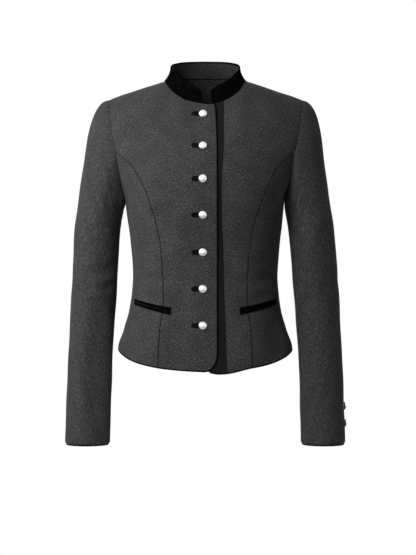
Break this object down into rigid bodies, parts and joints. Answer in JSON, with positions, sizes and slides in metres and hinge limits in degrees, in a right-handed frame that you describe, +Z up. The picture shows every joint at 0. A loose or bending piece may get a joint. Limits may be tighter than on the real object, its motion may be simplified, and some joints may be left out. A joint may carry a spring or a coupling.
{
  "type": "fitted jacket with stand collar",
  "caption": "Short fitted wool jacket in its hollow worn form, with a velvet stand collar, princess seams, welt pockets and domed buttons.",
  "frame": {"origin": "middle of the neck hole at the height of the shoulder-neck points, where the wearer's shoulders hold the jacket", "axes": "+Z up, the front faces -Y, +X towards the wearer's left"},
  "size_m": [0.5066, 0.2474, 0.6947],
  "materials": {
    "wool": "charcoal melange wool cloth with a short fulled nap",
    "dark_cloth": "smooth dark cloth of the button band",
    "velvet": "black cotton velvet",
    "silver": "softly polished silver-coloured metal"
  },
  "bodies": {
    "root": {"front_right": "wool", "front_left": "wool", "side_right": "wool", "side_left": "wool", "back_right": "wool", "back_left": "wool", "top_sleeve_right": "wool", "top_sleeve_left": "wool", "under_sleeve_right": "wool", "under_sleeve_left": "wool", "button_band": "dark_cloth", "back_neck_facing": "wool", "collar_facing": "wool", "collar_velvet": "velvet", "pocket_welt_upper_right": "velvet", "pocket_welt_lower_right": "velvet", "pocket_welt_upper_left": "velvet", "pocket_welt_lower_left": "velvet", "edge_trim_right": "velvet", "edge_trim_left": "velvet", "cuff_trim_right": "velvet", "cuff_trim_left": "velvet", "button_1": "silver", "button_2": "silver", "button_3": "silver", "button_4": "silver", "button_5": "silver", "button_6": "silver", "button_7": "silver", "cuff_button_1_right": "silver", "cuff_button_2_right": "silver", "cuff_button_1_left": "silver", "cuff_button_2_left": "silver"}
  },
  "joints": []
}
